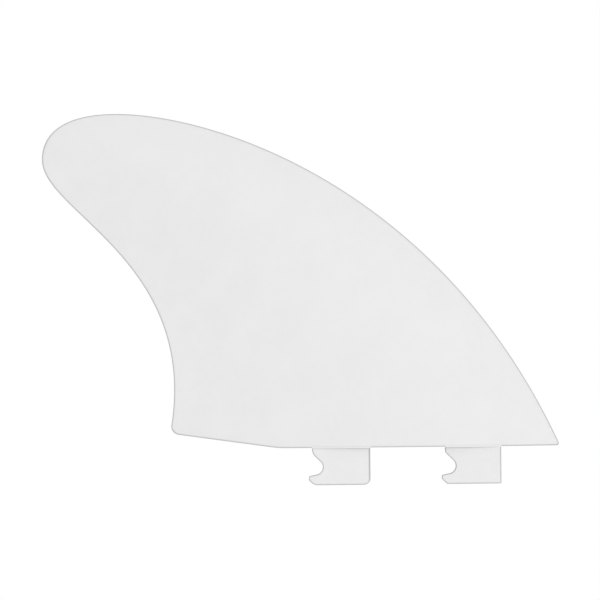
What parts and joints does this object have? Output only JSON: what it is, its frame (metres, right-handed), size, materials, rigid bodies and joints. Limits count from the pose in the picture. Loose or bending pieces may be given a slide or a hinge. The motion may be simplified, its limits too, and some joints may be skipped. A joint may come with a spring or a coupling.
{
  "type": "surfboard fin",
  "caption": "Large swept surfboard side fin with a rounded raked tip, a foiled outer side, a flat inner side and hooked plug-in tabs.",
  "frame": {"origin": "on the underside of the base, halfway along the gap between the tabs and in the middle of their thickness", "axes": "+X forward along the base, +Z from the base up to the tip, -Y out of the foiled outer side"},
  "size_m": [0.2004, 0.0095, 0.1455],
  "materials": {
    "resin": "satin white moulded resin"
  },
  "bodies": {
    "root": {"fin": "resin"}
  },
  "joints": []
}
